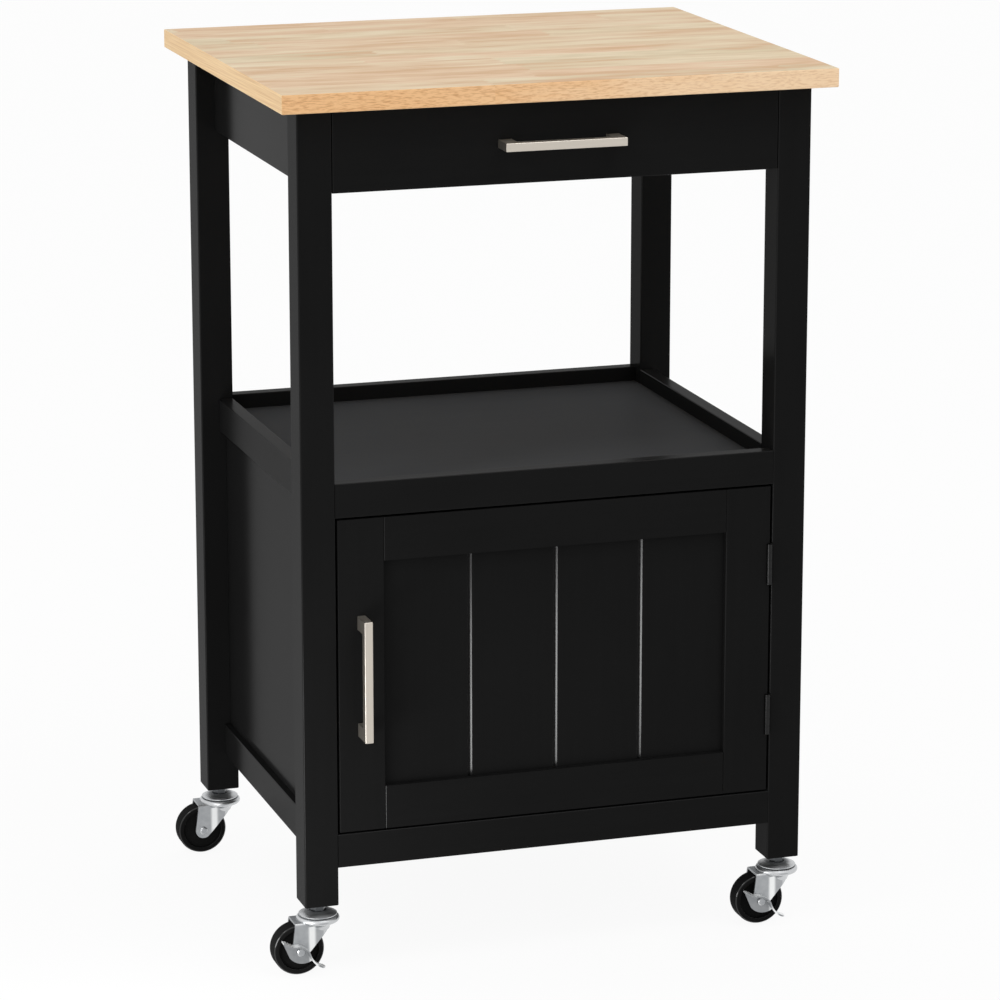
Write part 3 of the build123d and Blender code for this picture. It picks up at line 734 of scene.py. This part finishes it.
def screw_tree():
    tree = bpy.data.node_groups.new("cross_recess_screws", "GeometryNodeTree")
    for name, kind in screw_inputs.items():
        tree.interface.new_socket(name, in_out="INPUT", socket_type=kind)
    tree.interface.new_socket("Screws", in_out="OUTPUT", socket_type="NodeSocketGeometry")
    start = Wire(tree)
    group = tree.nodes.new("NodeGroupInput")
    given = {name: Wire(tree, group.outputs[name]) for name in screw_inputs}
    radius, height = given["Head Radius"], given["Head Height"]

    def lifted(shape, z):
        offset = start.make("ShaderNodeCombineXYZ", inputs={"Z": z})
        return start.make("GeometryNodeTransform", inputs={"Geometry": shape, "Translation": offset})

    def cylinder(size, length, middle):
        inputs = {"Vertices": cylinder_sides, "Radius": size, "Depth": length}
        return lifted(start.make("GeometryNodeMeshCylinder", inputs=inputs), middle)

    def bar(x, y):
        size = start.make("ShaderNodeCombineXYZ", inputs={"X": x, "Y": y, "Z": given["Recess Depth"] * 2})
        return lifted(start.make("GeometryNodeMeshCube", inputs={"Size": size}), height)

    def combine(operation, inputs):
        return start.make("GeometryNodeMeshBoolean", {"operation": operation, "solver": "EXACT"}, inputs)

    crown = height * crown_share
    ball_radius = (radius * radius + crown * crown) / (crown * 2)
    sphere = start.make("GeometryNodeMeshUVSphere", inputs={**ball_faces, "Radius": ball_radius})
    ball = lifted(sphere, height - ball_radius)
    blank = combine("INTERSECT", {"Mesh 2": [cylinder(radius, height, height / 2), ball]})
    length, width = given["Recess Length"], given["Recess Width"]
    head = combine("DIFFERENCE", {"Mesh 1": blank, "Mesh 2": [bar(length, width), bar(width, length)]})
    sunk = height * sunk_share
    shank_length = given["Shank Length"]
    shank = cylinder(given["Shank Radius"], shank_length + sunk, (sunk - shank_length) / 2)
    screw = combine("UNION", {"Mesh 2": [head, shank]})

    settings = {"data_type": "FLOAT_VECTOR"}
    facing = start.make("GeometryNodeInputNamedAttribute", settings, {"Name": facing_attribute})
    upright = start.make("FunctionNodeAlignRotationToVector", {"axis": "Z"}, {"Vector": facing})
    seed = {"Seed": given["Seed"]}
    chance = start.make("FunctionNodeRandomValue", {"data_type": "FLOAT"}, seed, number_output)
    inputs = {"Axis": (0, 0, 1), "Angle": chance * math.pi}
    twist = start.make("FunctionNodeAxisAngleToRotation", inputs=inputs)
    inputs = {"Rotation": upright, "Rotate By": twist}
    turned = start.make("FunctionNodeRotateRotation", {"rotation_space": "LOCAL"}, inputs)
    inputs = {"Points": given["Points"], "Instance": screw, "Rotation": turned, "Scale": (mm, mm, mm)}
    placed = start.make("GeometryNodeInstanceOnPoints", inputs=inputs)
    real = start.make("GeometryNodeRealizeInstances", inputs={"Geometry": placed})
    done = start.make("GeometryNodeSetMaterial", inputs={"Geometry": real, "Material": given["Finish"]})
    end = tree.nodes.new("NodeGroupOutput")
    tree.links.new(done.socket, end.inputs["Screws"])
    return tree


screws_on_points = screw_tree()
print("screw tree:", len(screws_on_points.nodes), "nodes")

# %% [markdown]
# ## Setting screws on points
#
# A group of like screws starts as a mesh of bare points, one for each screw, with the direction that its head
# faces. The tree's inputs are set on a modifier by their identifiers, and the result is made a plain mesh.
# Hinge, strike and runner screws have a flush head, because something slides or closes just above them.

# %% Screw groups
flush_head = {"Head Radius": 2.4, "Head Height": 0.16, "Recess Length": 2.9, "Recess Width": 0.6,
              "Recess Depth": 0.13, "Shank Radius": 1.3, "Shank Length": 0.7}
pan_head = {"Head Radius": 3.2, "Head Height": 1.8, "Recess Length": 3.4, "Recess Width": 0.8,
            "Recess Depth": 1.0, "Shank Radius": 1.5, "Shank Length": 8.0}
handle_head = {"Head Radius": 4.0, "Head Height": 2.4, "Recess Length": 4.4, "Recess Width": 1.0,
               "Recess Depth": 1.3, "Shank Radius": 2.0}
sockets = screws_on_points.interface.items_tree
input_key = {socket.name: socket.identifier for socket in sockets if socket.in_out == "INPUT"}


def screws(name, node, places, facing, sizes, seed):
    """One mesh of like screws on the body that carries this node. Flush ones are blackened."""
    mesh = bpy.data.meshes.new(name)
    mesh.from_pydata(places, [], [])
    directions = mesh.attributes.new(facing_attribute, "FLOAT_VECTOR", "POINT")
    for item in directions.data:
        item.vector = facing
    piece = bpy.data.objects.new(name, mesh)
    bpy.context.scene.collection.objects.link(piece)
    modifier = piece.modifiers.new("screws", "NODES")
    modifier.node_group = screws_on_points
    material = dark_steel if sizes is flush_head else zinc
    for socket, value in {**sizes, "Seed": seed, "Finish": material}.items():
        modifier[input_key[socket]] = value
    plain_mesh(piece)
    piece.data.shade_smooth()
    piece.data.set_sharp_from_angle(angle=sharp_angle)
    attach(piece, body_of[node])
    print(name, "on", body_of[node], "at", len(places), "places,", len(piece.data.polygons), "faces")
    return piece


def grid(along_x, along_y, along_z):
    return [(x, y, z) for x in along_x for y in along_y for z in along_z]


print("inputs of a screw group:", sorted(input_key))

# %% [markdown]
# ## Where the screws go
#
# Every place is worked out from the box of the piece that the screws hold: so far in from its ends, on the
# face that the head lies on. The handles' screws are solids already, so their detailed heads stand for those.

# %% Hinge, catch and runner screws
leaf_thickness = 0.8 * mm
leaf_screw_inset = 5.5 * mm
leaf_screw_lifts = (8 * mm, 32 * mm)
strike_screw_inset = 2.7 * mm
catch_screw_inset = 5 * mm
catch_ear_depth = 4 * mm
runner_screw_inset = 30 * mm

low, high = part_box("hinge_frame_leaves")
rows = [high.y - leaf_screw_inset]
lifts = [low.z + lift for lift in leaf_screw_lifts] + [high.z - lift for lift in leaf_screw_lifts[::-1]]
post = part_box("leg_front_right")[0].x - leaf_thickness
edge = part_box("door_stile_right")[1].x + leaf_thickness
for node, face, turn, seed in (("hinge_frame_leaves", post, -1, 1), ("hinge_door_leaves", edge, 1, 2)):
    places = grid([face], rows, lifts)
    screws(node + "_screws", node, places, (turn, 0, 0), flush_head, seed)

low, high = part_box("strike_plate")
ends = [low.x + strike_screw_inset, high.x - strike_screw_inset]
places = grid(ends, [high.y], [(low.z + high.z) / 2])
screws("strike_plate_screws", "strike_plate", places, (0, 1, 0), flush_head, 3)

low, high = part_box("magnetic_catch")
ends = [low.x + catch_screw_inset, high.x - catch_screw_inset]
places = grid(ends, [(low.y + high.y) / 2], [high.z - catch_ear_depth])
screws("magnetic_catch_screws", "magnetic_catch", places, (0, 0, -1), pan_head, 4)

for side, turn, seed in (("left", 1, 5), ("right", -1, 6)):
    node = "drawer_runner_" + side
    low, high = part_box(node)
    face = high.x if turn > 0 else low.x
    stops = [low.y + runner_screw_inset, (low.y + high.y) / 2, high.y - runner_screw_inset]
    places = grid([face], stops, [(low.z + high.z) / 2])
    screws(node + "_screws", node, places, (turn, 0, 0), flush_head, seed)

# %% Handle screws
head_radius = handle_head["Head Radius"] * mm
bars = (("drawer_handle_screws", "drawer_front", 0, 7), ("door_handle_screws", "door_stile_left", 2, 8))
for node, board, axis, seed in bars:
    low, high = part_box(node)
    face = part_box(board)[1].y
    places = []
    for end in (low[axis] + head_radius, high[axis] - head_radius):
        place = (low + high) / 2
        place.y = face
        place[axis] = end
        places.append(place)
    sizes = {**handle_head, "Shank Length": (face - low.y) / mm}
    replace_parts(screws(node + "_detailed", node, places, (0, 1, 0), sizes, seed), node)

# %% [markdown]
# ## The room
#
# The picture has a plain white ground. The floor is a large plane whose colour to the camera, and in
# reflections, is nearly all its own white, so that only a trace of the cart's shadow stays. The world does
# the same. Light comes from all round, at a level where a colour shows about as it is written.

# %% Floor and world
floor_glow = 0.93
sky_level = 0.76
floor_half = 40
floor_white = (0.9, 0.9, 0.9, 1)


def seen_rays(wire):
    """1 for rays from the camera or a reflection, 0 for light that bounces off a dull surface."""
    rays = wire.make("ShaderNodeLightPath").socket.node
    names = ("Is Camera Ray", "Is Glossy Ray", "Is Transmission Ray")
    camera_ray, glossy_ray, clear_ray = [Wire(wire.tree, rays.outputs[name]) for name in names]
    return (camera_ray + glossy_ray + clear_ray).math("MINIMUM", 1)


def studio_floor():
    mesh = bpy.data.meshes.new("studio_floor")
    ends = ((-1, -1), (1, -1), (1, 1), (-1, 1))
    mesh.from_pydata([(x * floor_half, y * floor_half, 0) for x, y in ends], [], [(0, 1, 2, 3)])
    floor = bpy.data.objects.new("studio_floor", mesh)
    bpy.context.scene.collection.objects.link(floor)
    material = bpy.data.materials.new("studio_floor_white")
    material.use_nodes = True
    tree = material.node_tree
    tree.nodes.clear()
    start = Wire(tree)
    dull = start.make("ShaderNodeBsdfDiffuse", inputs={"Color": floor_white})
    glow = start.make("ShaderNodeEmission", inputs={"Color": (1, 1, 1, 1), "Strength": 1.0})
    mixed = start.make("ShaderNodeMixShader", inputs={0: seen_rays(start) * floor_glow, 1: dull, 2: glow})
    end = tree.nodes.new("ShaderNodeOutputMaterial")
    tree.links.new(mixed.socket, end.inputs["Surface"])
    mesh.materials.append(material)


def studio_world():
    world = bpy.data.worlds.new("studio_world")
    world.use_nodes = True
    bpy.context.scene.world = world
    tree = world.node_tree
    ground = tree.nodes["Background"]
    ground.inputs["Color"].default_value = (1, 1, 1, 1)
    connect(tree, ground.inputs["Strength"], seen_rays(Wire(tree)) * (1 - sky_level) + sky_level)


studio_floor()
studio_world()
print("room: sky", sky_level, "floor glow", floor_glow)

# %% [markdown]
# ## Lamps
#
# Black paint shows its shape by what it mirrors, and an even white room draws no lines on it. A brighter room
# would only grey it, so a few softboxes stand where each one draws its own line. A small low one on the left
# draws the light lines in the door's grooves, one high on the left those on the wheels' rims, and one
# overhead those on the upper edges.

# %% Lamps
lamps = {
    "groove_lamp": dict(place=(-0.56, -0.40, 0.10), aim=(0, -0.2, 0.15), size=(0.24, 0.20), radiance=8),
    "rim_softbox": dict(place=(-1.6, -0.9, 1.95), aim=(-0.25, -0.2, 0.1), size=(0.35, 0.5), radiance=7),
    "overhead_softbox": dict(place=(0.5, -0.9, 2.7), aim=(0, 0, 0.5), size=(0.9, 0.9), radiance=4),
}


def soft_lamp(name, place, aim, size, radiance):
    """A rectangular softbox whose face has this brightness, where 1 is white."""
    data = bpy.data.lights.new(name, "AREA")
    data.shape = "RECTANGLE"
    data.size, data.size_y = size
    data.energy = radiance * math.pi * size[0] * size[1]
    lamp = bpy.data.objects.new(name, data)
    lamp.location = place
    lamp.rotation_euler = (Vector(aim) - Vector(place)).to_track_quat("-Z", "Y").to_euler()
    lamp.visible_camera = False
    bpy.context.scene.collection.objects.link(lamp)


for name, lamp in lamps.items():
    soft_lamp(name, **lamp)
print("lamps:", list(lamps))
